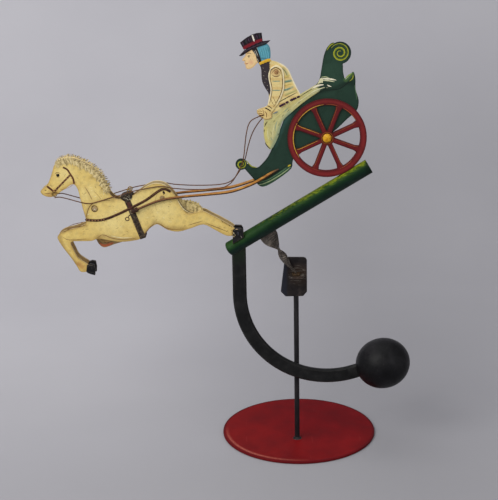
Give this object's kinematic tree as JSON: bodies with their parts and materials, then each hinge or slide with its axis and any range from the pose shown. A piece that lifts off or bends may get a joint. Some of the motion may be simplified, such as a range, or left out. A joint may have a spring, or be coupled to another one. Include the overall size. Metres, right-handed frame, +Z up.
{
  "type": "counterweight balancing toy",
  "caption": "Painted sheet-metal balancing toy: a galloping horse draws a cart with a top-hatted driver along a sloping beam, poised on a spike by a curved arm and ball.",
  "frame": {"origin": "on the base disc's underside, on the rod's axis", "axes": "+Z up along the rod, -X the way the horse faces, -Y the side on which the rider hangs in front of the rod"},
  "size_m": [0.3513, 0.156, 0.41],
  "materials": {
    "red_base": "satin",
    "black_steel": "satin",
    "plate_steel": "matte",
    "brass": "satin",
    "black_iron": "satin",
    "green_beam": "satin",
    "cream_horse": "satin",
    "black_hoof": "satin",
    "harness": "matte",
    "ochre_shaft": "satin",
    "rein_wire": "satin",
    "green_cart": "satin",
    "bare_steel": "satin",
    "red_wheel": "satin",
    "yellow_cap": "gloss",
    "cream_robe": "satin",
    "coat": "satin",
    "skin": "satin",
    "black_hat": "satin",
    "rivet": "satin"
  },
  "bodies": {
    "stand": {"base_disc": "red_base", "post_rod": "black_steel", "foot_weld": "black_steel", "bearing_plate": "plate_steel", "bearing_ledge": "plate_steel"},
    "cup": {"pivot_cup": "brass"},
    "rider": {"pivot_spike": "plate_steel", "beam": "green_beam", "beam_cap_front": "green_beam", "beam_cap_rear": "green_beam", "balance_arm": "black_steel", "balance_ball": "black_iron", "horse_near": "cream_horse", "horse_far": "cream_horse", "horse_spacers": "cream_horse", "hind_hooves": "black_hoof", "front_hooves": "black_hoof", "manes": "cream_horse", "tail": "cream_horse", "bridle_near": "harness", "bridle_far": "harness", "bit_rings": "brass", "breast_strap_near": "harness", "breast_strap_far": "harness", "girth": "harness", "saddle": "harness", "saddle_rings": "brass", "shaft_near": "ochre_shaft", "shaft_far": "ochre_shaft", "shaft_tugs": "harness", "rein_near": "rein_wire", "rein_far": "rein_wire", "cart_panel": "green_cart", "axle": "bare_steel", "hub_washers": "bare_steel", "wheel_near": "red_wheel", "wheel_far": "red_wheel", "hub_caps": "yellow_cap", "lap_robes": "cream_robe", "driver_body": "coat", "driver_head": "skin", "top_hat": "black_hat", "driver_arm_near": "coat", "driver_arm_far": "coat", "shoulder_rivet": "rivet"}
  },
  "joints": [
    {"name": "swivel", "type": "hinge", "parent": "stand", "child": "cup", "pos_m": [0, -0.01, 0.18], "axis": [0, 0, 1], "range_deg": [-4, 40]},
    {"name": "rock", "type": "hinge", "parent": "cup", "child": "rider", "pos_m": [0, -0.01, 0.18], "axis": [0, 1, 0], "range_deg": [-20, 20]}
  ]
}
